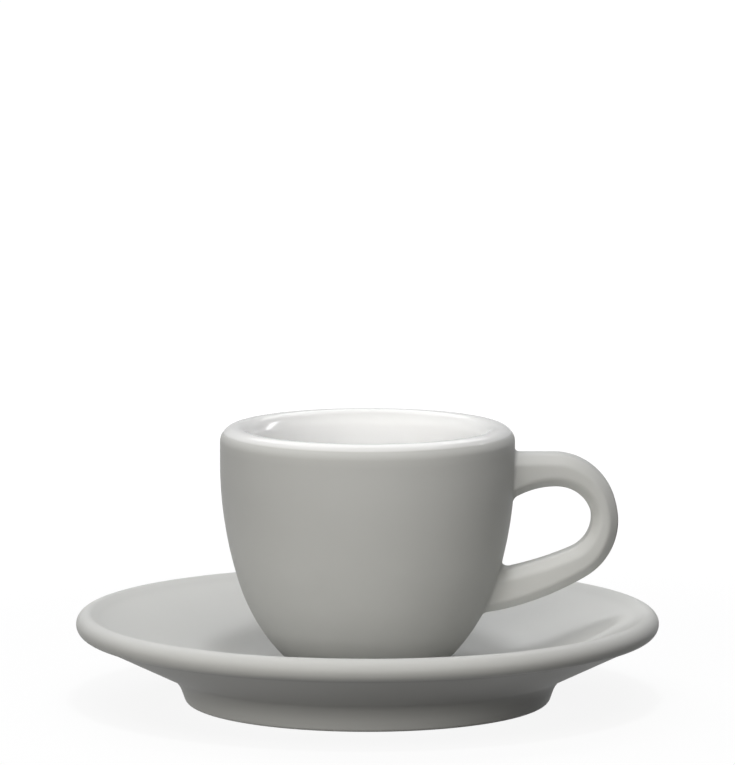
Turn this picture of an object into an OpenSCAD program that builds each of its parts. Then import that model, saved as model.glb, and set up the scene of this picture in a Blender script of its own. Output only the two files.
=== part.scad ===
// Espresso cup and saucer in glazed stoneware. The thick round cup has a cast loop handle stuck on with slip,
// a white glaze lining that turns over the lip, and a foot ring that stands in a shallow well in the saucer.
// Millimetres, +Z up. The origin is on the table, at the middle of the saucer's foot ring.
// The handle points along +X.

/* [Saucer] */
// Diameter over the rim
saucer_d = 120; // [104:0.5:150]
// Height of the rim above the table
saucer_h = 18.5; // [16:0.1:24]
// Thickness of the flank
saucer_wall = 4.3; // [3:0.1:5]
// How far the round bead along the rim stands out below the flank
saucer_bead = 0.25; // [0.1:0.05:1.5]
// Radius of the crease under the bead
saucer_crease_r = 2; // [0.5:0.1:4]
// Height of the floor round the well
saucer_floor_h = 7.6; // [6.5:0.1:9]
// Radius of the sweep from the floor up to the flank
saucer_sweep_r = 40; // [10:1:60]
// Diameter of the foot ring at the table
saucer_foot_d = 74.9; // [66:0.2:84]
// Height at which the foot ring meets the flank
saucer_foot_h = 4.9; // [4:0.05:7]
// Lean of the foot ring's outside, in degrees
saucer_foot_lean = 20; // [0:1:30]
// Width of the foot ring at the table
saucer_foot_w = 4.4; // [2.5:0.1:7]
// Radius of the cove between the foot ring and the flank
saucer_cove_r = 7.5; // [2:0.5:9]
// Depth of the hollow inside the foot ring
saucer_hollow = 2.6; // [1:0.1:4]
// Depth of the well that the cup stands in
well_depth = 0.8; // [0.4:0.1:2]
// Room all round between the cup's foot and the well
well_clearance = 1.2; // [0.4:0.1:3]
// Rounding of the foot ring's and the well's edges
saucer_edge_r = 1.1; // [0.3:0.1:1.5]

/* [Cup] */
// Diameter over the rim
cup_d = 60.6; // [54:0.2:72]
// Height from the foot to the top of the lip
cup_h = 50.2; // [44:0.2:60]
// Thickness of the wall, rounded fully at the lip
cup_wall = 6.3; // [4:0.1:8]
// Length of the straight stretch under the lip
cup_straight = 4.5; // [1:0.1:8]
// Radius of the side's long upper curve
cup_side_r = 81; // [60:1:120]
// Angle that the upper curve turns through, in degrees
cup_side_turn = 18; // [12:0.5:20]
// Diameter of the foot ring
cup_foot_d = 32; // [28:0.2:38]
// Height of the foot ring
cup_foot_h = 1.3; // [0.8:0.1:3]
// Width of the foot ring
cup_foot_w = 3.2; // [2:0.1:5]
// Depth of the hollow inside the foot ring
cup_hollow = 1.7; // [0.8:0.1:3]
// Height of the floor inside, above the foot
cup_floor_h = 6; // [5:0.1:9]
// Radius of the round between the inside floor and the wall
cup_bowl_r = 13; // [5:0.5:16]
// Rounding of the foot ring's edges
cup_edge_r = 0.5; // [0.2:0.1:0.6]

/* [White glaze lining] */
// Thickness of the lining
lining_t = 0.3; // [0.2:0.05:0.8]
// Angle from the top of the lip down its outside where the lining ends, in degrees
lining_edge = 55; // [20:1:80]

/* [Handle] */
// How far the handle stands out from the rim
handle_reach = 21.1; // [17:0.1:28]
// Depth of the arm's middle line below the top of the lip
handle_drop = 8.9; // [7.5:0.1:12]
// Radius of the bend's middle line
handle_bend_r = 10.2; // [8:0.1:12]
// Angle that the bend turns through, in degrees
handle_bend_turn = 153; // [145:1:160]
// Radius of the long curve from the bend down to the cup
handle_tail_r = 64; // [40:1:100]
// Width across
handle_w = 9; // [7:0.1:12]
// Thickness of the arm at the top
handle_arm_t = 6.7; // [5.5:0.05:9]
// Thickness at the thinnest place of the bend
handle_bend_t = 5.45; // [5:0.05:7]
// Place of the thinnest stretch, in degrees above level
handle_thin_at = 10; // [0:1:30]
// Thickness of the tail where it meets the cup
handle_tail_t = 8; // [6.5:0.05:11]
// Radius of the web under the arm
handle_web_r = 15; // [10:0.5:40]
// Rounding of the handle's long edges
handle_edge_r = 2.4; // [1:0.1:2.6]
// Radius of the slip fillet round both joints
handle_fillet_r = 1; // [0.5:0.1:1.5]

/* [Hidden] */
$fn = 128;
GREY = [0.65, 0.65, 0.63];
WHITE = [0.93, 0.93, 0.91];
arc_step = 3;
// Share of a stretch that the round at one of its ends may take, where both ends have one, and where one has
shared_room = 0.48;
whole_room = 0.98;

// Plane helpers. A direction is an angle in degrees, and an arc runs from one angle to another.
function along(angle) = [cos(angle), sin(angle)];
function unit(v) = v / norm(v);
function clamp(x, low, high) = max(low, min(high, x));
function arc(middle, r, from, to) =
    let (steps = max(1, ceil(abs(to - from) / arc_step)))
    [for (i = [0 : steps]) middle + r * along(from + (to - from) * i / steps)];

// The corner between two straight stretches, rounded by r, or by less where a stretch is short
function rounded(before, corner, after, r) =
    let (back = unit(before - corner), on = unit(after - corner))
    let (half = acos(clamp(back * on, -1, 1)) / 2)
    let (room = shared_room * min(norm(before - corner), norm(after - corner)))
    let (r_fit = min(r, room * tan(half)))
    let (middle = corner + unit(back + on) * r_fit / sin(half))
    let (start = corner + back * r_fit / tan(half) - middle)
    let (end = corner + on * r_fit / tan(half) - middle)
    let (from = atan2(start[1], start[0]))
    let (turn = atan2(start[0] * end[1] - start[1] * end[0], start * end))
    arc(middle, r_fit, from, from + turn);

// Cup sizes, above the cup's own foot
cup_r = cup_d / 2;
lip_r = cup_wall / 2;
lip_mid = [cup_r - lip_r, cup_h - lip_r];
side_top = cup_h - lip_r - cup_straight;
side_mid = [cup_r - cup_side_r, side_top];
side_end = side_mid + cup_side_r * along(-cup_side_turn);
foot_top = [cup_foot_d / 2, cup_foot_h];
// The lower curve leaves the upper one smoothly and ends at the top of the foot ring
belly_chord = foot_top - side_end;
belly_turn = atan2(-belly_chord[0], -belly_chord[1]) - cup_side_turn;
belly_r = norm(belly_chord) / (2 * sin(belly_turn));
belly_mid = side_end - belly_r * along(-cup_side_turn);
belly_end = -cup_side_turn - 2 * belly_turn;
// Inside, the wall goes on straight from the end of the upper curve and is rounded into the floor
bowl_top = side_mid + (cup_side_r - cup_wall) * along(-cup_side_turn);
bowl_rise = bowl_top[1] - cup_floor_h;
bowl_corner = bowl_top[0] - bowl_rise * tan(cup_side_turn);
bowl_bite = tan(45 - cup_side_turn / 2);
bowl_r = min(cup_bowl_r, whole_room * min(bowl_rise / cos(cup_side_turn), bowl_corner) / bowl_bite);
bowl_mid = [bowl_corner - bowl_r * bowl_bite, cup_floor_h + bowl_r];

// Saucer sizes
rim_r = (saucer_wall + saucer_bead) / 2;
under_rim = saucer_wall - rim_r;
rim_mid = [saucer_d / 2 - rim_r, saucer_h - rim_r];
saucer_foot_r = saucer_foot_d / 2;
foot_corner = [saucer_foot_r + saucer_foot_h * tan(saucer_foot_lean), saucer_foot_h];
rim_span = rim_mid - foot_corner;
slope = atan2(rim_span[1], rim_span[0]) - asin(under_rim / norm(rim_span));
flank_top = rim_mid + rim_r * along(slope + 90);
flank_foot = [flank_top[0] - (flank_top[1] - saucer_floor_h) / tan(slope), saucer_floor_h];
well_r = cup_foot_d / 2 + well_clearance;
well_z = saucer_floor_h - well_depth;
well_edge = well_r + well_depth;

// Handle sizes, above the cup's own foot
arm_z = cup_h - handle_drop;
bend_x = cup_r + handle_reach - handle_bend_r - handle_bend_t / 2;
bend_mid = [bend_x, arm_z - handle_bend_r];
bend_end = 90 - handle_bend_turn;
tail_mid = bend_mid + (handle_bend_r - handle_tail_r) * along(bend_end);
arm_run = bend_x - cup_r / 2;
bend_run = handle_bend_r * handle_bend_turn * PI / 180;
thin_run = arm_run + handle_bend_r * (90 - handle_thin_at) * PI / 180;
tail_run = norm(tail_mid + handle_tail_r * along(bend_end) - side_end);
whole_run = arm_run + bend_run + 2 * tail_run;
embed = 1.2;
fillet_steps = 5;
fillet_stop = 78;
free_steps = 44;
edge_steps = 6;
rails = 4 * (edge_steps + 1);
bisections = 26;

// Outline of the cup's outside, from the foot up to a direction on the lip
function outside(lip_to) = concat(
    rounded([0, 0], [cup_foot_d / 2, 0], foot_top, cup_edge_r),
    arc(belly_mid, belly_r, belly_end, -cup_side_turn),
    arc(side_mid, cup_side_r, -cup_side_turn, 0),
    arc(lip_mid, lip_r, 0, lip_to));

// Outline of the inside, grown into the wall by a depth, from a direction on the lip down to the axis
function inside(depth, lip_from) = concat(
    arc(lip_mid, lip_r - depth, lip_from, 180),
    arc(side_mid, cup_side_r - cup_wall + depth, 0, -cup_side_turn),
    arc(bowl_mid, bowl_r + depth, -cup_side_turn, -90),
    [[0, cup_floor_h - depth]]);

function backwards(points) = [for (i = [len(points) - 1 : -1 : 0]) points[i]];
function average(points) = [for (p = points) 1 / len(points)] * points;

// How far a point of space lies outside the cup's wall, and the way straight out of the wall there
function wall_angle(p) = atan2(min(p[2] - side_top, 0), norm([p[0], p[1]]) - side_mid[0]);
function on_belly(p) = wall_angle(p) < -cup_side_turn;
function wall_mid(p) = on_belly(p) ? belly_mid : [side_mid[0], max(p[2], side_top)];
function wall_gap(p) = norm([norm([p[0], p[1]]), p[2]] - wall_mid(p)) - (on_belly(p) ? belly_r : cup_side_r);
function wall_out(p) =
    let (r = norm([p[0], p[1]]))
    let (way = unit([r, p[2]] - wall_mid(p)))
    [way[0] * p[0] / r, way[0] * p[1] / r, way[1]];

// The handle's middle line in the XZ plane, at a run along it: the arm, then the bend, then the tail
function facing(run) =
    run < arm_run ? 90
    : run < arm_run + bend_run ? 90 - (run - arm_run) / handle_bend_r * 180 / PI
    : bend_end - (run - arm_run - bend_run) / handle_tail_r * 180 / PI;
function middle_line(run) =
    run < arm_run ? [bend_x - arm_run + run, arm_z]
    : run < arm_run + bend_run ? bend_mid + handle_bend_r * along(facing(run))
    : tail_mid + handle_tail_r * along(facing(run));
function ease(x) = (x + (1 - cos(180 * x)) / 2) / 2;
function thickness(run) =
    run < thin_run
    ? handle_bend_t + (handle_arm_t - handle_bend_t) * ease(min(1, (thin_run - run) / (thin_run - arm_run)))
    : handle_bend_t + (handle_tail_t - handle_bend_t)
        * ease(min(1, (run - thin_run) / (arm_run + bend_run + tail_run - thin_run)));
function web(run) = run < arm_run ? pow(arm_run - run, 2) / (2 * handle_web_r) : 0;

// One rail of the handle's skin: the section is a rounded oblong, thicker below where the web is
function edge_angle(rail) = floor(rail / (edge_steps + 1)) * 90 + rail % (edge_steps + 1) * 90 / edge_steps;
function rail_point(run, rail) =
    let (quarter = floor(rail / (edge_steps + 1)))
    let (half_t = thickness(run) / 2)
    let (edge = min(handle_edge_r, whole_room * half_t))
    let (across = (quarter == 0 || quarter == 3 ? 1 : -1) * (handle_w / 2 - edge) + edge * cos(edge_angle(rail)))
    let (up = (quarter < 2 ? half_t - edge : edge - half_t - web(run)) + edge * sin(edge_angle(rail)))
    let (place = middle_line(run) + up * along(facing(run)))
    [place[0], across, place[1]];
function rail_out(run, rail) =
    let (way = sin(edge_angle(rail)) * along(facing(run)))
    [way[0], cos(edge_angle(rail)), way[1]];

// The run between two runs at which a rail stands a given distance off the cup's wall
function run_at(gap, rail, near, off, steps = bisections) =
    steps == 0 ? (near + off) / 2
    : let (half = (near + off) / 2)
      wall_gap(rail_point(half, rail)) < gap
      ? run_at(gap, rail, half, off, steps - 1)
      : run_at(gap, rail, near, half, steps - 1);

// A rail's point near a joint, moved out along the wall by the slip fillet
function fillet_point(turn, gap, rail, root) =
    let (run = run_at(gap, rail, root, thin_run))
    let (p = rail_point(run, rail))
    let (out = wall_out(p))
    let (skin = rail_out(run, rail))
    p + unit(skin - (skin * out) * out) * handle_fillet_r * (1 - cos(turn));
function fillet_run(rail, root) = concat(
    [fillet_point(fillet_stop, -embed, rail, root)],
    [for (i = [0 : fillet_steps])
        let (turn = fillet_stop * (1 - i / fillet_steps))
        fillet_point(turn, handle_fillet_r * (1 - sin(turn)), rail, root)]);
function free_rail(rail) =
    let (from = run_at(handle_fillet_r, rail, 0, thin_run))
    let (to = run_at(handle_fillet_r, rail, whole_run, thin_run))
    [for (i = [1 : free_steps - 1]) rail_point(from + (to - from) * i / free_steps, rail)];
function whole_rail(rail) = concat(
    fillet_run(rail, 0),
    free_rail(rail),
    backwards(fillet_run(rail, whole_run)));

// The cup's outside as a solid with no hollow, which the handle's ends are cut to
module cup_blank() {
    rotate_extrude()
        polygon(concat([[0, 0]], outside(90), [[0, cup_h]]));
}

module saucer() {
    well_corner = [well_r, well_z];
    well_lip = [well_edge, saucer_floor_h];
    // The crease is a small round that touches the bead and the underside of the flank
    crease_drop = under_rim + saucer_crease_r;
    crease_back = sqrt(pow(rim_r + saucer_crease_r, 2) - pow(crease_drop, 2));
    crease_mid = rim_mid - crease_back * along(slope) + crease_drop * along(slope - 90);
    crease_turn = asin(crease_back / (rim_r + saucer_crease_r));
    flank_under = crease_mid + saucer_crease_r * along(slope + 90);
    foot_out = [saucer_foot_r, 0];
    foot_in = [saucer_foot_r - saucer_foot_w, 0];
    hollow_corner = [foot_in[0] - saucer_hollow * tan(saucer_foot_lean), saucer_hollow];
    outline = concat(
        [[0, well_z]],
        rounded([0, well_z], well_corner, well_lip, saucer_edge_r),
        rounded(well_corner, well_lip, flank_foot, saucer_edge_r),
        rounded(well_lip, flank_foot, flank_top, saucer_sweep_r),
        arc(rim_mid, rim_r, slope + 90, slope - 90 - crease_turn),
        arc(crease_mid, saucer_crease_r, slope + 90 - crease_turn, slope + 90),
        rounded(flank_under, foot_corner, foot_out, saucer_cove_r),
        rounded(foot_corner, foot_out, foot_in, saucer_edge_r),
        rounded(foot_out, foot_in, hollow_corner, saucer_edge_r),
        rounded(foot_in, hollow_corner, [0, saucer_hollow], saucer_edge_r),
        [[0, saucer_hollow]]);
    color(GREY)
        rotate_extrude()
            polygon(outline);
}

module cup_body() {
    foot_in = [cup_foot_d / 2 - cup_foot_w, 0];
    hollow_corner = [foot_in[0] - cup_hollow / 2, cup_hollow];
    outline = concat(
        [[0, cup_hollow]],
        rounded([0, cup_hollow], hollow_corner, foot_in, cup_edge_r),
        rounded(hollow_corner, foot_in, [cup_foot_d / 2, 0], cup_edge_r),
        outside(90 - lining_edge),
        inside(lining_t, 90 - lining_edge));
    color(GREY)
        translate([0, 0, well_z])
            rotate_extrude()
                polygon(outline);
}

module inner_glaze() {
    outline = concat(
        inside(0, 90 - lining_edge),
        backwards(inside(lining_t, 90 - lining_edge)));
    color(WHITE)
        translate([0, 0, well_z])
            rotate_extrude()
                polygon(outline);
}

module cup_handle() {
    grid = [for (rail = [0 : rails - 1]) whole_rail(rail)];
    rings = len(grid[0]);
    skin = [for (rail = grid) for (p = rail) p];
    first_cap = average([for (rail = grid) rail[0]]);
    last_cap = average([for (rail = grid) rail[rings - 1]]);
    first_at = len(skin);
    sides = [for (i = [0 : rails - 1]) for (k = [0 : rings - 2])
        let (a = i * rings + k, b = (i + 1) % rails * rings + k)
        each [[a, b + 1, b], [a, a + 1, b + 1]]];
    caps = [for (i = [0 : rails - 1])
        let (a = i * rings, b = (i + 1) % rails * rings)
        each [[a, b, first_at], [b + rings - 1, a + rings - 1, first_at + 1]]];
    color(GREY)
        translate([0, 0, well_z])
            difference() {
                polyhedron(concat(skin, [first_cap, last_cap]), concat(sides, caps));
                cup_blank();
            }
}

saucer();
cup_body();
inner_glaze();
cup_handle();
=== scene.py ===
"""Looks for the espresso cup and saucer, which are thick glazed stoneware.

The glaze is satin grey outside and glossy white inside the cup. All lengths are in metres, in the
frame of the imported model: +Z up, the handle along +X, the origin on the table under the saucer.
"""

import math
from collections import namedtuple

import bmesh
import bpy
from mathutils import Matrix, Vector


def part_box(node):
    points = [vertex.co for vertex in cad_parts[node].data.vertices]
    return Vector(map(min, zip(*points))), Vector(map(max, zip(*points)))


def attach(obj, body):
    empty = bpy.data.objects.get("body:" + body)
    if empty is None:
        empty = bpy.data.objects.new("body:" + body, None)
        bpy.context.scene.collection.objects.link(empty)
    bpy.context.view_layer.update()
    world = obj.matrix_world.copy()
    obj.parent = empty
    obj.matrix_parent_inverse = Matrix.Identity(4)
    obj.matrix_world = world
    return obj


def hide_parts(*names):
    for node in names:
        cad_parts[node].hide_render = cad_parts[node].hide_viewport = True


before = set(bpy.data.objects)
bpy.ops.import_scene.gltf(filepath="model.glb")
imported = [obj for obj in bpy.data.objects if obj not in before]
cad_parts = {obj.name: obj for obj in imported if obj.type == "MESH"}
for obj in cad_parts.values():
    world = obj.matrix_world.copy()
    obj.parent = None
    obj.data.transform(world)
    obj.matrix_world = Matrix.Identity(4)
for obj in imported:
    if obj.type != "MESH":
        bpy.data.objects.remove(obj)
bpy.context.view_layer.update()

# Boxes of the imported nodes, which give the main sizes
saucer_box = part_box("saucer")
body_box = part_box("cup_body")
lining_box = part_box("inner_glaze")
handle_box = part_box("cup_handle")

# Saucer
SAUCER_R = saucer_box[1].x
SAUCER_H = saucer_box[1].z
SAUCER_WALL = 0.0043
SAUCER_BEAD = 0.00025
SAUCER_CREASE_R = 0.002
SAUCER_FLOOR_H = 0.0076
SAUCER_SWEEP_R = 0.040
SAUCER_FOOT_R = 0.03745
SAUCER_FOOT_H = 0.0049
SAUCER_FOOT_LEAN = 20
SAUCER_FOOT_W = 0.0044
SAUCER_COVE_R = 0.0075
SAUCER_HOLLOW = 0.0026
SAUCER_EDGE_R = 0.0011
WELL_Z = body_box[0].z
WELL_CLEARANCE = 0.0012

# Cup, with heights above its own foot
CUP_R = body_box[1].x
CUP_H = lining_box[1].z - WELL_Z
CUP_WALL = 0.0063
CUP_STRAIGHT = 0.0045
CUP_SIDE_R = 0.081
CUP_SIDE_TURN = 18
CUP_FOOT_R = 0.016
CUP_FOOT_H = 0.0013
CUP_FOOT_W = 0.0032
CUP_HOLLOW = 0.0017
CUP_FLOOR_H = 0.006
CUP_BOWL_R = 0.013
CUP_EDGE_R = 0.0005

# White lining
LINING_T = 0.0003
LINING_EDGE = 55

# Handle
HANDLE_END = handle_box[1].x
HANDLE_DROP = 0.0089
HANDLE_BEND_R = 0.0102
HANDLE_BEND_TURN = 153
HANDLE_TAIL_R = 0.064
HANDLE_W = 0.009
HANDLE_ARM_T = 0.0067
HANDLE_BEND_T = 0.00545
HANDLE_THIN_AT = 10
HANDLE_TAIL_T = 0.008
HANDLE_WEB_R = 0.015
HANDLE_EDGE_R = 0.0024
# The share of the edge's radius that each bend of its softened chamfer has
HANDLE_EDGE_SOFT = 0.55
# Slip fillets at the handle's ends: on its flat sides, on the outside of the loop and on its inside
FILLET_SIDE_R = 0.0006
ARM_FILLET_OUT_R = 0.001
ARM_FILLET_IN_R = 0.0008
TAIL_FILLET_OUT_R = 0.0008
TAIL_FILLET_IN_R = 0.0021

# How finely the clay is meshed: lengths in metres, angles in degrees, and counts of steps
TURNS = 192
ARC_STEP = 5
STEP = 0.0015
EDGE_STEPS = 4
FACE_STEPS = 3
FREE_STEPS = 88
FILLET_STEPS = 9
BISECTIONS = 40
SHARP_ANGLE = 40
# Points closer together than this are one point, and points closer to the axis than this are on it
SAME_POINT = 1e-7
ON_AXIS = 1e-6
# The share of a stretch that the round at one of its ends may take, and the share of half the
# handle's thickness that the round of its edge may take
SHARED_ROOM = 0.48
WHOLE_ROOM = 0.98
# How far the handle's ends reach under the skin of the cup's wall
SINK = 0.00012

# How thick the glaze lies, from 0 where it gathers to 1 where it is thin.
# The same value also carries painted light and shade.
EVEN_GLAZE = 0.5
# Over tight rounds and in hollows: the stretch that counts as one bend, and how much a bend does
THIN_SPREAD = 0.0009
THIN_CURVE = 0.0022
# The lengths over which the wiped foot rings and the edge of the white fade out
WIPE_FADE = 0.0003
WHITE_FADE = 0.0006
# Painted light makes the dish lighter and painted shade darkens the cup towards its foot.
# The white is thin over the lip.
DISH_PAINTED_LIGHT = 0.42
FOOT_PAINTED_SHADE = 0.5
FOOT_SHADE_H = 0.028
LIP_THIN = 0.24
# Painted light makes the handle lighter, thin glaze makes its edges lighter still,
# and it gathers glaze at its joints
HANDLE_PAINTED_LIGHT = 0.22
HANDLE_EDGE_THIN = 0.1
JOINT_GATHER = 0.1
# Rows of points from each end of the handle: those full of gathered glaze, and those it fades over
JOINT_ROWS = 2
JOINT_FADE_ROWS = FILLET_STEPS + 3


# Plane outlines: points are (radius, height), directions are angles in degrees


def along(angle):
    return Vector((math.cos(math.radians(angle)), math.sin(math.radians(angle))))


def heading(v):
    return math.degrees(math.atan2(v.y, v.x))


def tan_of(angle):
    return math.tan(math.radians(angle))


def arc(middle, r, start, end):
    """Points on an arc, close enough together for a smooth skin."""
    turn = abs(end - start)
    steps = max(1, math.ceil(turn / ARC_STEP), math.ceil(math.radians(turn) * r / STEP))
    return [middle + r * along(start + (end - start) * i / steps) for i in range(steps + 1)]


def rounded(before, corner, after, r):
    """The corner between two straight stretches, rounded by r, or by less on a short stretch."""
    back = before - corner
    on = after - corner
    half = back.angle(on) / 2
    r = min(r, SHARED_ROOM * min(back.length, on.length) * math.tan(half))
    back.normalize()
    on.normalize()
    middle = corner + (back + on).normalized() * r / math.sin(half)
    start = corner + back * r / math.tan(half) - middle
    end = corner + on * r / math.tan(half) - middle
    turn = math.degrees(math.atan2(start.x * end.y - start.y * end.x, start.dot(end)))
    return arc(middle, r, heading(start), heading(start) + turn)


def filled(outline):
    """The outline with points added along its long stretches, and doubled points left out."""
    points = [outline[0]]
    for point in outline[1:]:
        gap = point - points[-1]
        steps = math.ceil(gap.length / STEP)
        if gap.length > SAME_POINT:
            points += [points[-1] + gap * (i + 1) / steps for i in range(steps)]
    return points


# Cup profile


LIP_R = CUP_WALL / 2
LIP_MID = Vector((CUP_R - LIP_R, CUP_H - LIP_R))
SIDE_TOP = CUP_H - LIP_R - CUP_STRAIGHT
SIDE_MID = Vector((CUP_R - CUP_SIDE_R, SIDE_TOP))
SIDE_END = SIDE_MID + CUP_SIDE_R * along(-CUP_SIDE_TURN)
FOOT_TOP = Vector((CUP_FOOT_R, CUP_FOOT_H))
# The lower curve leaves the upper one smoothly and ends at the top of the foot ring
BELLY_CHORD = FOOT_TOP - SIDE_END
BELLY_TURN = math.degrees(math.atan2(-BELLY_CHORD.x, -BELLY_CHORD.y)) - CUP_SIDE_TURN
BELLY_R = BELLY_CHORD.length / (2 * math.sin(math.radians(BELLY_TURN)))
BELLY_MID = SIDE_END - BELLY_R * along(-CUP_SIDE_TURN)
BELLY_END = -CUP_SIDE_TURN - 2 * BELLY_TURN
# Inside, the wall goes on straight from the end of the upper curve and is rounded into the floor
BOWL_TOP = SIDE_MID + (CUP_SIDE_R - CUP_WALL) * along(-CUP_SIDE_TURN)
BOWL_CORNER = BOWL_TOP.x - (BOWL_TOP.y - CUP_FLOOR_H) * tan_of(CUP_SIDE_TURN)
BOWL_MID_R = BOWL_CORNER - CUP_BOWL_R * tan_of(45 - CUP_SIDE_TURN / 2)
BOWL_MID = Vector((BOWL_MID_R, CUP_FLOOR_H + CUP_BOWL_R))


def cup_outside():
    return (
        rounded(Vector((0, 0)), Vector((CUP_FOOT_R, 0)), FOOT_TOP, CUP_EDGE_R)
        + arc(BELLY_MID, BELLY_R, BELLY_END, -CUP_SIDE_TURN)
        + arc(SIDE_MID, CUP_SIDE_R, -CUP_SIDE_TURN, 0)
        + arc(LIP_MID, LIP_R, 0, 90 - LINING_EDGE)
    )


def cup_inside(depth):
    """The inside, set into the wall by a depth: from the lining's edge over the lip to the axis."""
    return (
        arc(LIP_MID, LIP_R - depth, 90 - LINING_EDGE, 180)
        + arc(SIDE_MID, CUP_SIDE_R - CUP_WALL + depth, 0, -CUP_SIDE_TURN)
        + arc(BOWL_MID, CUP_BOWL_R + depth, -CUP_SIDE_TURN, -90)
        + [Vector((0, CUP_FLOOR_H - depth))]
    )


def cup_body_outline():
    foot_out = Vector((CUP_FOOT_R, 0))
    foot_in = Vector((CUP_FOOT_R - CUP_FOOT_W, 0))
    hollow_corner = Vector((foot_in.x - CUP_HOLLOW / 2, CUP_HOLLOW))
    hollow_mid = Vector((0, CUP_HOLLOW))
    return filled(
        [hollow_mid]
        + rounded(hollow_mid, hollow_corner, foot_in, CUP_EDGE_R)
        + rounded(hollow_corner, foot_in, foot_out, CUP_EDGE_R)
        + cup_outside()
        + cup_inside(LINING_T)
    )


def lining_outline():
    return filled(cup_inside(0) + cup_inside(LINING_T)[::-1])


# Saucer profile


def saucer_outline():
    rim_r = (SAUCER_WALL + SAUCER_BEAD) / 2
    under_rim = SAUCER_WALL - rim_r
    rim_mid = Vector((SAUCER_R - rim_r, SAUCER_H - rim_r))
    lean = tan_of(SAUCER_FOOT_LEAN)
    foot_out = Vector((SAUCER_FOOT_R, 0))
    foot_in = Vector((SAUCER_FOOT_R - SAUCER_FOOT_W, 0))
    foot_corner = Vector((SAUCER_FOOT_R + SAUCER_FOOT_H * lean, SAUCER_FOOT_H))
    hollow_corner = Vector((foot_in.x - SAUCER_HOLLOW * lean, SAUCER_HOLLOW))
    hollow_mid = Vector((0, SAUCER_HOLLOW))
    rim_span = rim_mid - foot_corner
    slope = heading(rim_span) - math.degrees(math.asin(under_rim / rim_span.length))
    flank_top = rim_mid + rim_r * along(slope + 90)
    flank_run = (flank_top.y - SAUCER_FLOOR_H) / tan_of(slope)
    flank_foot = Vector((flank_top.x - flank_run, SAUCER_FLOOR_H))
    well_mid = Vector((0, WELL_Z))
    well_corner = Vector((CUP_FOOT_R + WELL_CLEARANCE, WELL_Z))
    well_lip = Vector((well_corner.x + SAUCER_FLOOR_H - WELL_Z, SAUCER_FLOOR_H))
    # The crease is a small round that touches the bead and the underside of the flank
    crease_drop = under_rim + SAUCER_CREASE_R
    crease_reach = rim_r + SAUCER_CREASE_R
    crease_back = math.sqrt(crease_reach**2 - crease_drop**2)
    crease_mid = rim_mid - crease_back * along(slope) + crease_drop * along(slope - 90)
    crease_turn = math.degrees(math.asin(crease_back / crease_reach))
    flank_under = crease_mid + SAUCER_CREASE_R * along(slope + 90)
    return filled(
        [well_mid]
        + rounded(well_mid, well_corner, well_lip, SAUCER_EDGE_R)
        + rounded(well_corner, well_lip, flank_foot, SAUCER_EDGE_R)
        + rounded(well_lip, flank_foot, flank_top, SAUCER_SWEEP_R)
        + arc(rim_mid, rim_r, slope + 90, slope - 90 - crease_turn)
        + arc(crease_mid, SAUCER_CREASE_R, slope + 90 - crease_turn, slope + 90)
        + rounded(flank_under, foot_corner, foot_out, SAUCER_COVE_R)
        + rounded(foot_corner, foot_out, foot_in, SAUCER_EDGE_R)
        + rounded(foot_out, foot_in, hollow_corner, SAUCER_EDGE_R)
        + rounded(foot_in, hollow_corner, hollow_mid, SAUCER_EDGE_R)
        + [hollow_mid]
    )


# Meshes


def smooth_step(x):
    x = min(1, max(0, x))
    return x * x * (3 - 2 * x)


def glaze_thinness(outline):
    """How thin the glaze is at each point of an outline: more over rounds, less in hollows."""
    count = len(outline)
    runs = [0]
    for i in range(1, count):
        runs.append(runs[-1] + (outline[i] - outline[i - 1]).length)
    bends = [0]
    for i in range(1, count - 1):
        before = outline[i] - outline[i - 1]
        after = outline[i + 1] - outline[i]
        bends.append(math.atan2(before.cross(after), before.dot(after)))
    bends.append(0)
    outward = 1 if sum(bends) > 0 else -1
    thin = []
    for at in runs:
        weights = [math.exp(-(((run - at) / THIN_SPREAD) ** 2)) for run in runs]
        bend = outward * sum(w * b for w, b in zip(weights, bends))
        curve = bend / (THIN_SPREAD * math.sqrt(math.pi))
        thin.append(EVEN_GLAZE + 0.5 * math.tanh(curve * THIN_CURVE))
    return thin


def thinness_with_dish_light(outline):
    """The saucer's thinness: painted light makes the dish lighter, up to the round of the rim."""
    thin = glaze_thinness(outline)
    rim = max(range(len(outline)), key=lambda i: outline[i].y)
    for i in range(rim):
        thin[i] += DISH_PAINTED_LIGHT * smooth_step((outline[rim].x - outline[i].x) / SAUCER_WALL)
    return thin


def wiped(outline):
    """How far the glaze was wiped off at each point: where the piece stands, fading out above."""
    return [1 - smooth_step(point.y / WIPE_FADE) for point in outline]


def thinness_with_foot_shade(outline):
    """The cup body's thinness, with painted shade that darkens it towards the foot."""
    gathered_and_shade = [FOOT_PAINTED_SHADE * (1 - smooth_step(point.y / FOOT_SHADE_H)) for point in outline]
    return [thin - less for thin, less in zip(glaze_thinness(outline), gathered_and_shade)]


def thinness_of_lining(outline):
    """The lining's thinness: the white is thinner over the lip and runs out at its edge outside."""
    edge = outline[0]
    over_lip = [LIP_THIN * smooth_step((point.y - CUP_H) / LIP_R + 1) for point in outline]
    to_edge = [0.5 - 0.5 * smooth_step((point - edge).length / WHITE_FADE) for point in outline]
    return [EVEN_GLAZE + max(both) for both in zip(over_lip, to_edge)]


def finish_mesh(name, bm, layers):
    """A smooth closed object from a bmesh, with values for the material at its vertices."""
    bmesh.ops.recalc_face_normals(bm, faces=bm.faces)
    for face in bm.faces:
        face.smooth = True
    mesh = bpy.data.meshes.new(name)
    bm.to_mesh(mesh)
    bm.free()
    mesh.set_sharp_from_angle(angle=math.radians(SHARP_ANGLE))
    for layer, values in layers.items():
        attribute = mesh.attributes.new(layer, "FLOAT", "POINT")
        attribute.data.foreach_set("value", values)
    piece = bpy.data.objects.new(name, mesh)
    bpy.context.scene.collection.objects.link(piece)
    return piece


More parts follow.
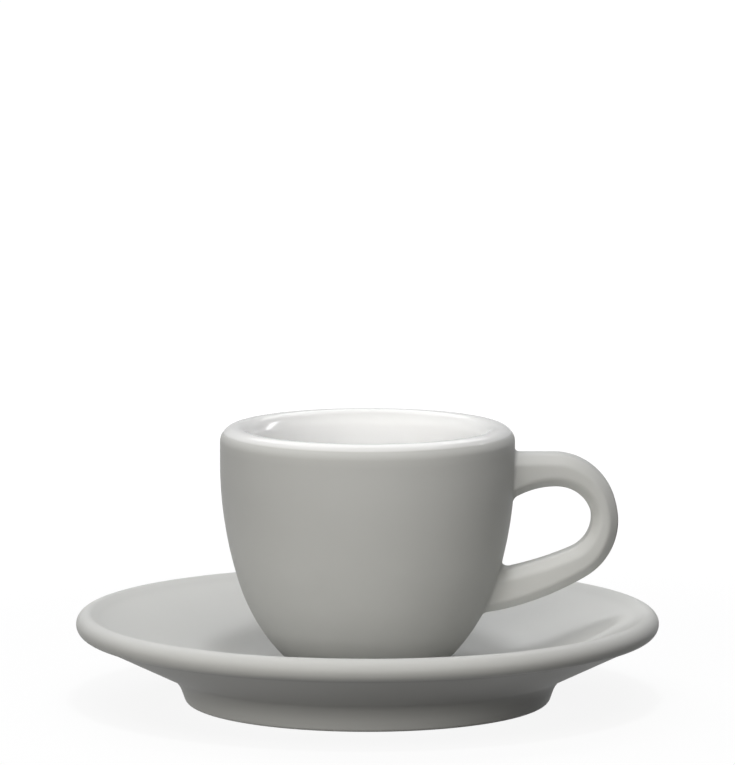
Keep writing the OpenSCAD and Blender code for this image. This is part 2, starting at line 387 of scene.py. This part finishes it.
def turned(name, outline, base_z, thin, bare):
    """A piece turned on the wheel: a closed outline swept round the axis, at a height."""
    bm = bmesh.new()
    layers = {"thinness_and_painted_light": [], "bare_clay": []}
    rings = []
    for point, thin_here, bare_here in zip(outline, thin, bare):
        turns = 1 if point.x < ON_AXIS else TURNS
        ring = []
        for i in range(turns):
            way = along(360 * i / TURNS)
            ring.append(bm.verts.new((point.x * way.x, point.x * way.y, base_z + point.y)))
            layers["thinness_and_painted_light"].append(thin_here)
            layers["bare_clay"].append(bare_here)
        rings.append(ring)
    # Between two points on the axis there is no skin
    for ring, after in zip(rings, rings[1:] + rings[:1]):
        for i in range(TURNS if len(ring) + len(after) > 2 else 0):
            corners = [ring[i % len(ring)], ring[(i + 1) % len(ring)]]
            corners += [after[(i + 1) % len(after)], after[i % len(after)]]
            bm.faces.new(list(dict.fromkeys(corners)))
    return finish_mesh(name, bm, layers)


# Handle: a rounded oblong section along an arm, a bend and a tail, with slip fillets at the wall


# A line along the handle: the corners of the section it lies between, its share of the way from
# the first to the second, the side that its edge bends away from, and its own angle
Rail = namedtuple("Rail", "first second share side angle")

# Runs are lengths along the handle's middle line, which starts and ends inside the cup's wall
ARM_Z = CUP_H - HANDLE_DROP
BEND_MID = Vector((HANDLE_END - HANDLE_BEND_R - HANDLE_BEND_T / 2, ARM_Z - HANDLE_BEND_R))
BEND_END = 90 - HANDLE_BEND_TURN
TAIL_MID = BEND_MID + (HANDLE_BEND_R - HANDLE_TAIL_R) * along(BEND_END)
ARM_RUN = BEND_MID.x - CUP_R / 2
BEND_RUN = HANDLE_BEND_R * math.radians(HANDLE_BEND_TURN)
THIN_RUN = ARM_RUN + HANDLE_BEND_R * math.radians(90 - HANDLE_THIN_AT)
TAIL_RUN = (TAIL_MID + HANDLE_TAIL_R * along(BEND_END) - SIDE_END).length
TAIL_FROM = ARM_RUN + BEND_RUN
WHOLE_RUN = TAIL_FROM + 2 * TAIL_RUN


def wall_middle(p):
    """The middle and the radius of the arc of the cup's outside that a point lies nearest to."""
    r = math.hypot(p.x, p.y)
    turn = math.degrees(math.atan2(min(p.z - SIDE_TOP, 0), r - SIDE_MID.x))
    if turn < -CUP_SIDE_TURN:
        return BELLY_MID, BELLY_R
    return Vector((SIDE_MID.x, max(p.z, SIDE_TOP))), CUP_SIDE_R


def wall_gap(p):
    middle, r = wall_middle(p)
    return (Vector((math.hypot(p.x, p.y), p.z)) - middle).length - r


def wall_out(p):
    middle, _ = wall_middle(p)
    r = math.hypot(p.x, p.y)
    way = (Vector((r, p.z)) - middle).normalized()
    return Vector((way.x * p.x / r, way.x * p.y / r, way.y))


def handle_facing(run):
    if run < ARM_RUN:
        return 90
    if run < TAIL_FROM:
        return 90 - math.degrees((run - ARM_RUN) / HANDLE_BEND_R)
    return BEND_END - math.degrees((run - TAIL_FROM) / HANDLE_TAIL_R)


def handle_middle(run):
    if run < ARM_RUN:
        return Vector((BEND_MID.x - ARM_RUN + run, ARM_Z))
    if run < TAIL_FROM:
        return BEND_MID + HANDLE_BEND_R * along(handle_facing(run))
    return TAIL_MID + HANDLE_TAIL_R * along(handle_facing(run))


def ease(x):
    x = min(1, x)
    return (x + (1 - math.cos(math.pi * x)) / 2) / 2


def handle_thickness(run):
    if run < THIN_RUN:
        swell = ease((THIN_RUN - run) / (THIN_RUN - ARM_RUN))
        return HANDLE_BEND_T + (HANDLE_ARM_T - HANDLE_BEND_T) * swell
    swell = ease((run - THIN_RUN) / (TAIL_FROM + TAIL_RUN - THIN_RUN))
    return HANDLE_BEND_T + (HANDLE_TAIL_T - HANDLE_BEND_T) * swell


def handle_web(run):
    """The extra clay under the arm, which grows towards the cup."""
    return max(0, ARM_RUN - run) ** 2 / (2 * HANDLE_WEB_R)


def section_rails():
    """The rails round the section, quarter by quarter: the two bends of an edge, then a face."""
    rails = []
    for quarter in range(4):
        for half in range(2):
            side = 90 * (quarter + half)
            for i in range(EDGE_STEPS + 1):
                angle = 90 * quarter + 45 * (half + i / EDGE_STEPS)
                rails.append(Rail(quarter, quarter, 0, side, angle))
        side = 90 * (quarter + 1)
        for i in range(1, FACE_STEPS + 1):
            rails.append(Rail(quarter, (quarter + 1) % 4, i / (FACE_STEPS + 1), side, side))
    return rails


def rail_point(run, rail):
    half_t = handle_thickness(run) / 2
    edge = min(HANDLE_EDGE_R, WHOLE_ROOM * half_t)
    corners = []
    for quarter in (rail.first, rail.second):
        across = (HANDLE_W / 2 - edge) * (1 if quarter in (0, 3) else -1)
        up = half_t - edge if quarter < 2 else edge - half_t - handle_web(run)
        corners.append(Vector((across, up)))
    bend = (1 - HANDLE_EDGE_SOFT) * along(rail.side) + HANDLE_EDGE_SOFT * along(rail.angle)
    place = corners[0].lerp(corners[1], rail.share) + edge * bend
    spot = handle_middle(run) + place.y * along(handle_facing(run))
    return Vector((spot.x, place.x, spot.y))


def rail_out(run, rail):
    way = along(rail.angle)
    up = way.y * along(handle_facing(run))
    return Vector((up.x, way.x, up.y))


def run_at(gap, rail, near, off):
    """The run between two runs at which a rail stands a given distance off the cup's wall."""
    for _ in range(BISECTIONS):
        half = (near + off) / 2
        if wall_gap(rail_point(half, rail)) < gap:
            near = half
        else:
            off = half
    return (near + off) / 2


def fillet_r(rail, out_r, in_r):
    """The fillet's radius on a rail, between the flat sides' and the loop's outside or inside."""
    lean = along(rail.angle).y
    return FILLET_SIDE_R + ((out_r if lean > 0 else in_r) - FILLET_SIDE_R) * lean**2


def fillet_rail(rail, root, r):
    """One rail through a joint, from under the wall's skin out to where the fillet ends."""
    stations = [(r, -SINK)]
    for i in range(FILLET_STEPS + 1):
        turn = math.radians(90 * (1 - i / FILLET_STEPS))
        stations.append((r * (1 - math.cos(turn)), r * (1 - math.sin(turn))))
    points = []
    for shift, gap in stations:
        run = run_at(gap, rail, root, THIN_RUN)
        p = rail_point(run, rail)
        out = wall_out(p)
        skin = rail_out(run, rail)
        points.append(p + (skin - skin.dot(out) * out).normalized() * shift)
    return points


def handle_rail(rail):
    arm_r = fillet_r(rail, ARM_FILLET_OUT_R, ARM_FILLET_IN_R)
    tail_r = fillet_r(rail, TAIL_FILLET_OUT_R, TAIL_FILLET_IN_R)
    start = run_at(arm_r, rail, 0, THIN_RUN)
    end = run_at(tail_r, rail, WHOLE_RUN, THIN_RUN)
    runs = [start + (end - start) * i / FREE_STEPS for i in range(1, FREE_STEPS)]
    free = [rail_point(run, rail) for run in runs]
    return fillet_rail(rail, 0, arm_r) + free + fillet_rail(rail, WHOLE_RUN, tail_r)[::-1]


def make_handle(name):
    bm = bmesh.new()
    layers = {"thinness_and_painted_light": [], "bare_clay": []}
    grid = []
    for rail in section_rails():
        points = handle_rail(rail)
        grid.append([bm.verts.new((p.x, p.y, p.z + WELL_Z)) for p in points])
        # From 0 on the flats to 1 in the middle of an edge
        turn = rail.angle % 90 / 90
        corner = 0.5 - 0.5 * math.cos(2 * math.pi * turn)
        # Painted light on the whole handle, and thinner glaze on its edges
        painted_light_and_thin_edge = HANDLE_PAINTED_LIGHT + HANDLE_EDGE_THIN * corner
        for i in range(len(points)):
            from_end = min(i, len(points) - 1 - i)
            joint = 1 - smooth_step((from_end - JOINT_ROWS) / JOINT_FADE_ROWS)
            layers["thinness_and_painted_light"].append(EVEN_GLAZE + painted_light_and_thin_edge * (1 - joint) - JOINT_GATHER * joint)
            layers["bare_clay"].append(0)
    for line, beside in zip(grid, grid[1:] + grid[:1]):
        for i in range(len(line) - 1):
            bm.faces.new((line[i], line[i + 1], beside[i + 1], beside[i]))
    for end in (0, -1):
        bm.faces.new([line[end] for line in grid])
    return finish_mesh(name, bm, layers)


# Node helpers


# Sockets of a Mix node, which share their names: for colours and for values
COLOUR_A = 6
COLOUR_B = 7
COLOUR_OUT = 2
VALUE_A = 2
VALUE_B = 3
VALUE_OUT = 0


def add_node(tree, kind, place, **settings):
    node = tree.nodes.new(kind)
    node.location = place
    for key, value in settings.items():
        setattr(node, key, value)
    return node


def new_group(name, inputs, outputs):
    """An empty shader node group. Inputs are name to (type, value), outputs are name to type."""
    tree = bpy.data.node_groups.new(name, "ShaderNodeTree")
    for label, (kind, value) in inputs.items():
        socket = tree.interface.new_socket(label, in_out="INPUT", socket_type=kind)
        socket.default_value = value
    for label, kind in outputs.items():
        tree.interface.new_socket(label, in_out="OUTPUT", socket_type=kind)
    group_in = add_node(tree, "NodeGroupInput", (-1200, 0))
    group_out = add_node(tree, "NodeGroupOutput", (900, 0))
    return tree, group_in, group_out


def math_node(tree, operation, place, first, second):
    """A Math node. Each operand is a socket or a number."""
    node = add_node(tree, "ShaderNodeMath", place, operation=operation)
    for socket, value in zip(node.inputs, (first, second)):
        if isinstance(value, (int, float)):
            socket.default_value = value
        else:
            tree.links.new(value, socket)
    return node.outputs["Value"]


def mix_colours(tree, place, factor, first, second):
    """A Mix node for colours. The factor and the colours are sockets."""
    node = add_node(tree, "ShaderNodeMix", place, data_type="RGBA")
    tree.links.new(factor, node.inputs["Factor"])
    tree.links.new(first, node.inputs[COLOUR_A])
    tree.links.new(second, node.inputs[COLOUR_B])
    return node.outputs[COLOUR_OUT]


def noise(tree, place, scale, detail):
    """A Noise node on the piece's own coordinates. The scale is a socket or a number."""
    coordinates = add_node(tree, "ShaderNodeTexCoord", (place[0] - 220, place[1]))
    node = add_node(tree, "ShaderNodeTexNoise", place)
    node.inputs["Detail"].default_value = detail
    tree.links.new(coordinates.outputs["Object"], node.inputs["Vector"])
    if isinstance(scale, (int, float)):
        node.inputs["Scale"].default_value = scale
    else:
        tree.links.new(scale, node.inputs["Scale"])
    return node.outputs["Fac"]


# Groups that more than one glaze uses


NOISE_MIDDLE = 0.5
MOTTLE_DETAIL = 4
PEEL_DETAIL = 1
GRIT_DETAIL = 2


def glaze_body_group():
    """How fired glaze looks over clay: mottled, lighter where thin, darker where it gathers."""
    tree, given, made = new_group(
        "glaze_body",
        {
            "Even": ("NodeSocketColor", (0.4, 0.4, 0.4, 1)),
            "Thin": ("NodeSocketColor", (0.5, 0.5, 0.5, 1)),
            "Gathered": ("NodeSocketColor", (0.3, 0.3, 0.3, 1)),
            "Mottle Scale": ("NodeSocketFloat", 60),
            "Mottle": ("NodeSocketFloat", 0.1),
            "Roughness": ("NodeSocketFloat", 0.4),
            "Roughness Spread": ("NodeSocketFloat", 0.1),
        },
        {"Color": "NodeSocketColor", "Roughness": "NodeSocketFloat"},
    )
    layer = add_node(tree, "ShaderNodeAttribute", (-1000, -300), attribute_name="thinness_and_painted_light")
    cloud = noise(tree, (-760, 100), given.outputs["Mottle Scale"], MOTTLE_DETAIL)
    centred = math_node(tree, "SUBTRACT", (-560, 100), cloud, NOISE_MIDDLE)
    swing = math_node(tree, "MULTIPLY", (-380, 100), centred, given.outputs["Mottle"])
    thin = math_node(tree, "ADD", (-200, 100), layer.outputs["Fac"], swing)
    over = add_node(tree, "ShaderNodeMapRange", (0, 200))
    over.inputs["From Min"].default_value = EVEN_GLAZE
    tree.links.new(thin, over.inputs["Value"])
    under = add_node(tree, "ShaderNodeMapRange", (0, -100))
    under.inputs["From Min"].default_value = EVEN_GLAZE
    under.inputs["From Max"].default_value = 0
    tree.links.new(thin, under.inputs["Value"])
    even = given.outputs["Even"]
    lighter = mix_colours(tree, (220, 200), over.outputs["Result"], even, given.outputs["Thin"])
    gathered_and_shade = given.outputs["Gathered"]
    darker = mix_colours(tree, (440, 100), under.outputs["Result"], lighter, gathered_and_shade)
    tree.links.new(darker, made.inputs["Color"])
    spread = given.outputs["Roughness Spread"]
    rough_swing = math_node(tree, "MULTIPLY", (-200, -300), centred, spread)
    rough = math_node(tree, "ADD", (0, -300), rough_swing, given.outputs["Roughness"])
    tree.links.new(rough, made.inputs["Roughness"])
    return tree


def glaze_skin_group():
    """The faint orange peel and pinholes of a fired surface, as a height."""
    tree, given, made = new_group(
        "glaze_skin",
        {
            "Peel Scale": ("NodeSocketFloat", 300),
            "Grit Scale": ("NodeSocketFloat", 2500),
            "Grit": ("NodeSocketFloat", 0.3),
        },
        {"Height": "NodeSocketFloat"},
    )
    peel = noise(tree, (-700, 150), given.outputs["Peel Scale"], PEEL_DETAIL)
    grit = noise(tree, (-700, -150), given.outputs["Grit Scale"], GRIT_DETAIL)
    grit_part = math_node(tree, "MULTIPLY", (-400, -150), grit, given.outputs["Grit"])
    height = math_node(tree, "ADD", (-150, 0), peel, grit_part)
    tree.links.new(height, made.inputs["Height"])
    return tree


def use_group(tree, group, place, **values):
    """A group in a material, with its own values for the group's inputs."""
    node = add_node(tree, "ShaderNodeGroup", place, node_tree=group)
    for label, value in values.items():
        node.inputs[label.replace("_", " ")].default_value = value
    return node


def new_material(name):
    material = bpy.data.materials.new(name)
    material.use_nodes = True
    tree = material.node_tree
    return material, tree, tree.nodes["Principled BSDF"]


def bumped(tree, place, height, strength):
    bump = add_node(tree, "ShaderNodeBump", place)
    bump.inputs["Strength"].default_value = strength
    bump.inputs["Distance"].default_value = PEEL_HEIGHT
    tree.links.new(height, bump.inputs["Height"])
    return bump.outputs["Normal"]


# Materials


GREY_SPECULAR = 0.07
WHITE_SPECULAR = 0.5
# The height of the orange peel, and how much of it shows in each glaze
PEEL_HEIGHT = 0.00005
GREY_PEEL = 0.25
WHITE_PEEL = 0.12
# The bare clay of the foot rings, and the ragged line where the glaze was wiped off
CLAY_COLOUR = (0.62, 0.60, 0.55, 1)
CLAY_ROUGHNESS = 0.9
RAGGED_SCALE = 900
RAGGED_DETAIL = 3
BARE_FROM = 0.95
BARE_TO = 1.1


def grey_glaze_material(body_group, skin_group):
    """Satin grey glaze, with the pale clay bare on the foot rings."""
    material, tree, shader = new_material("grey_satin_glaze")
    # Thin also gives painted light on the dish and the handle. Gathered is darker than pooled
    # glaze alone: it is also painted shade in the saucer's crease and towards the cup's foot.
    glaze = use_group(
        tree,
        body_group,
        (-900, 200),
        Even=(0.556, 0.557, 0.540, 1),
        Thin=(0.632, 0.633, 0.613, 1),
        Gathered=(0.368, 0.369, 0.357, 1),
        Mottle_Scale=70,
        Mottle=0.12,
        Roughness=0.48,
        Roughness_Spread=0.12,
    )
    skin = use_group(tree, skin_group, (-900, -200), Peel_Scale=330, Grit_Scale=2600, Grit=0.35)
    layer = add_node(tree, "ShaderNodeAttribute", (-900, 500), attribute_name="bare_clay")
    ragged = noise(tree, (-900, 750), RAGGED_SCALE, RAGGED_DETAIL)
    ragged_line = math_node(tree, "ADD", (-660, 600), layer.outputs["Fac"], ragged)
    bare = add_node(tree, "ShaderNodeMapRange", (-460, 600))
    bare.inputs["From Min"].default_value = BARE_FROM
    bare.inputs["From Max"].default_value = BARE_TO
    tree.links.new(ragged_line, bare.inputs["Value"])
    clay = add_node(tree, "ShaderNodeMix", (-220, 300), data_type="RGBA")
    clay.inputs[COLOUR_B].default_value = CLAY_COLOUR
    tree.links.new(bare.outputs["Result"], clay.inputs["Factor"])
    tree.links.new(glaze.outputs["Color"], clay.inputs[COLOUR_A])
    tree.links.new(clay.outputs[COLOUR_OUT], shader.inputs["Base Color"])
    dry = add_node(tree, "ShaderNodeMix", (-220, 50))
    dry.inputs[VALUE_B].default_value = CLAY_ROUGHNESS
    tree.links.new(bare.outputs["Result"], dry.inputs["Factor"])
    tree.links.new(glaze.outputs["Roughness"], dry.inputs[VALUE_A])
    tree.links.new(dry.outputs[VALUE_OUT], shader.inputs["Roughness"])
    peel = bumped(tree, (-220, -200), skin.outputs["Height"], GREY_PEEL)
    tree.links.new(peel, shader.inputs["Normal"])
    shader.inputs["Specular IOR Level"].default_value = GREY_SPECULAR
    return material


def white_glaze_material(body_group, skin_group):
    """Glossy white glaze that thins to the grey below it at its edge on the lip."""
    material, tree, shader = new_material("white_gloss_glaze")
    glaze = use_group(
        tree,
        body_group,
        (-600, 200),
        Even=(0.955, 0.953, 0.947, 1),
        Thin=(0.66, 0.66, 0.64, 1),
        Gathered=(0.935, 0.932, 0.924, 1),
        Mottle_Scale=45,
        Mottle=0.05,
        Roughness=0.1,
        Roughness_Spread=0.03,
    )
    skin = use_group(tree, skin_group, (-600, -200), Peel_Scale=180, Grit_Scale=1500, Grit=0.05)
    tree.links.new(glaze.outputs["Color"], shader.inputs["Base Color"])
    tree.links.new(glaze.outputs["Roughness"], shader.inputs["Roughness"])
    peel = bumped(tree, (-220, -200), skin.outputs["Height"], WHITE_PEEL)
    tree.links.new(peel, shader.inputs["Normal"])
    shader.inputs["Specular IOR Level"].default_value = WHITE_SPECULAR
    return material


def floor_material():
    """White studio paper: white to the camera and the gloss, and it keeps the object's shadow."""
    material, tree, shader = new_material("studio_floor")
    shader.inputs["Base Color"].default_value = (FLOOR_BOUNCE, FLOOR_BOUNCE, FLOOR_BOUNCE, 1)
    shader.inputs["Roughness"].default_value = PAPER_ROUGHNESS
    shader.inputs["Specular IOR Level"].default_value = 0
    shader.inputs["Emission Color"].default_value = (1, 1, 1, 1)
    place = add_node(tree, "ShaderNodeTexCoord", (-1100, 0))
    distance = add_node(tree, "ShaderNodeVectorMath", (-900, 0), operation="LENGTH")
    tree.links.new(place.outputs["Object"], distance.inputs[0])
    glow = add_node(tree, "ShaderNodeMapRange", (-700, 0), interpolation_type="SMOOTHSTEP")
    glow.inputs["From Min"].default_value = SHADOW_R
    glow.inputs["From Max"].default_value = SHADOW_END
    glow.inputs["To Min"].default_value = FLOOR_GLOW
    glow.inputs["To Max"].default_value = 1
    tree.links.new(distance.outputs["Value"], glow.inputs["Value"])
    rays = add_node(tree, "ShaderNodeLightPath", (-900, 400)).outputs
    sight = math_node(tree, "MAXIMUM", (-700, 400), rays["Is Camera Ray"], rays["Is Glossy Ray"])
    seen = math_node(tree, "MAXIMUM", (-500, 400), sight, rays["Is Transmission Ray"])
    strength = math_node(tree, "MULTIPLY", (-300, 200), seen, glow.outputs["Result"])
    tree.links.new(strength, shader.inputs["Emission Strength"])
    return material


# Pieces


def place_piece(piece, body, node, material):
    """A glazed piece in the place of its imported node."""
    piece.data.materials.append(material)
    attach(piece, body)
    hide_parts(node)


def make_pieces():
    body_group = glaze_body_group()
    skin_group = glaze_skin_group()
    grey = grey_glaze_material(body_group, skin_group)
    white = white_glaze_material(body_group, skin_group)

    outline = saucer_outline()
    saucer = turned("glazed_saucer", outline, 0, thinness_with_dish_light(outline), wiped(outline))
    place_piece(saucer, "saucer", "saucer", grey)

    outline = cup_body_outline()
    body = turned("glazed_cup_body", outline, WELL_Z, thinness_with_foot_shade(outline), wiped(outline))
    place_piece(body, "cup", "cup_body", grey)

    outline = lining_outline()
    never_bare = [0] * len(outline)
    lining = turned("white_lining", outline, WELL_Z, thinness_of_lining(outline), never_bare)
    place_piece(lining, "cup", "inner_glaze", white)

    handle = make_handle("glazed_handle")
    place_piece(handle, "cup", "cup_handle", grey)


# Stage, light and camera


# The floor lies just below the foot ring, so that the two don't share a plane
FLOOR_R = 4
FLOOR_SIDES = 128
FLOOR_DROP = 0.0001
FLOOR_BOUNCE = 0.1
PAPER_ROUGHNESS = 0.9
# The floor's own white: a little less near the object, where its shadow lies
FLOOR_GLOW = 0.9
SHADOW_R = 0.1
SHADOW_END = 0.4
# The room's light, and the wall that shows in the gloss, which fades out between two heights
ROOM_LIGHT = 0.08
WALL_GLOW = 0.5
WALL_TOP = 0.45
WALL_END = 0.8
# All lamps face the middle of the cup
LIGHT_AIM = Vector((0, 0, 0.03))
PLAIN_LIGHT = (1, 1, 1)
WARM_LIGHT = (1, 0.985, 0.95)
COOL_LIGHT = (0.96, 0.972, 1)
# The photo's camera: its place, its angle below level in degrees, and its lens in millimetres
CAMERA_AT = Vector((0, -1.32155, 0.23784))
CAMERA_PITCH = 7.41
CAMERA_LENS = 305.8


def make_floor():
    bm = bmesh.new()
    bmesh.ops.create_circle(bm, cap_ends=True, radius=FLOOR_R, segments=FLOOR_SIDES)
    bmesh.ops.translate(bm, verts=bm.verts, vec=(0, 0, -FLOOR_DROP))
    mesh = bpy.data.meshes.new("floor")
    bm.to_mesh(mesh)
    bm.free()
    mesh.materials.append(floor_material())
    floor = bpy.data.objects.new("floor", mesh)
    bpy.context.scene.collection.objects.link(floor)


def area_light(name, place, width, height, power, colour):
    """A rectangle of light aimed at the object."""
    light = bpy.data.lights.new(name, "AREA")
    light.shape = "RECTANGLE"
    light.size = width
    light.size_y = height
    light.energy = power
    light.color = colour
    lamp = bpy.data.objects.new(name, light)
    lamp.location = place
    lamp.rotation_euler = (LIGHT_AIM - place).to_track_quat("-Z", "Y").to_euler()
    bpy.context.scene.collection.objects.link(lamp)
    return lamp


def softbox(name, place, width, height, power, colour):
    """A lamp that lights the object and doesn't show in its gloss."""
    area_light(name, place, width, height, power, colour).visible_glossy = False


def card(name, place, width, height, glow):
    """A bright card that shows in the gloss and gives no light of its own."""
    power = glow * width * height * math.pi
    area_light(name, place, width, height, power, PLAIN_LIGHT).visible_diffuse = False


def around(azimuth, elevation, distance):
    """A place round the object. Azimuth 0 is the camera's side and 90 is the handle's."""
    level = distance * math.cos(math.radians(elevation))
    side = along(azimuth - 90) * level
    return Vector((side.x, side.y, distance * math.sin(math.radians(elevation)))) + LIGHT_AIM


def make_light():
    over = around(azimuth=10, elevation=78, distance=0.9)
    softbox("overhead_softbox", over, width=0.12, height=0.12, power=2.5, colour=COOL_LIGHT)
    front = around(azimuth=-25, elevation=10, distance=1.5)
    softbox("front_softbox", front, width=1.1, height=0.35, power=10.0, colour=WARM_LIGHT)
    high = around(azimuth=4, elevation=55, distance=1.3)
    softbox("high_softbox", high, width=0.9, height=0.6, power=5.1, colour=WARM_LIGHT)
    back = around(azimuth=198, elevation=48, distance=1.5)
    softbox("back_softbox", back, width=2.0, height=0.8, power=12.4, colour=COOL_LIGHT)
    ceiling = around(azimuth=180, elevation=56, distance=1.5)
    card("ceiling_card", ceiling, width=1.4, height=1.2, glow=2.0)
    right = around(azimuth=116, elevation=19, distance=1.2)
    card("right_card", right, width=0.24, height=0.75, glow=6.5)


def make_world():
    """A dim room that the camera sees white. The gloss shows a grey wall below the ceiling."""
    world = bpy.data.worlds.new("studio")
    bpy.context.scene.world = world
    world.use_nodes = True
    tree = world.node_tree
    room = tree.nodes["Background"]
    room.inputs["Color"].default_value = (1, 1, 1, 1)
    place = add_node(tree, "ShaderNodeTexCoord", (-1100, 0))
    up = add_node(tree, "ShaderNodeSeparateXYZ", (-900, 0))
    tree.links.new(place.outputs["Generated"], up.inputs["Vector"])
    wall = add_node(tree, "ShaderNodeMapRange", (-700, 0), interpolation_type="SMOOTHSTEP")
    wall.inputs["From Min"].default_value = WALL_TOP
    wall.inputs["From Max"].default_value = WALL_END
    wall.inputs["To Min"].default_value = WALL_GLOW
    wall.inputs["To Max"].default_value = ROOM_LIGHT
    tree.links.new(up.outputs["Z"], wall.inputs["Value"])
    rays = add_node(tree, "ShaderNodeLightPath", (-1100, 400)).outputs
    through = rays["Is Transmission Ray"]
    gloss = math_node(tree, "MAXIMUM", (-700, 400), rays["Is Glossy Ray"], through)
    mirrored = math_node(tree, "MULTIPLY", (-500, 200), gloss, wall.outputs["Result"])
    seen = math_node(tree, "MAXIMUM", (-300, 300), rays["Is Camera Ray"], mirrored)
    strength = math_node(tree, "MAXIMUM", (-150, 200), seen, ROOM_LIGHT)
    tree.links.new(strength, room.inputs["Strength"])


def make_camera():
    data = bpy.data.cameras.new("photo_camera")
    data.lens = CAMERA_LENS
    camera = bpy.data.objects.new("photo_camera", data)
    camera.location = CAMERA_AT
    camera.rotation_euler = (math.radians(90 - CAMERA_PITCH), 0, 0)
    bpy.context.scene.collection.objects.link(camera)
    bpy.context.scene.camera = camera


make_pieces()
make_floor()
make_light()
make_world()
make_camera()
bpy.context.scene.view_settings.view_transform = "Standard"
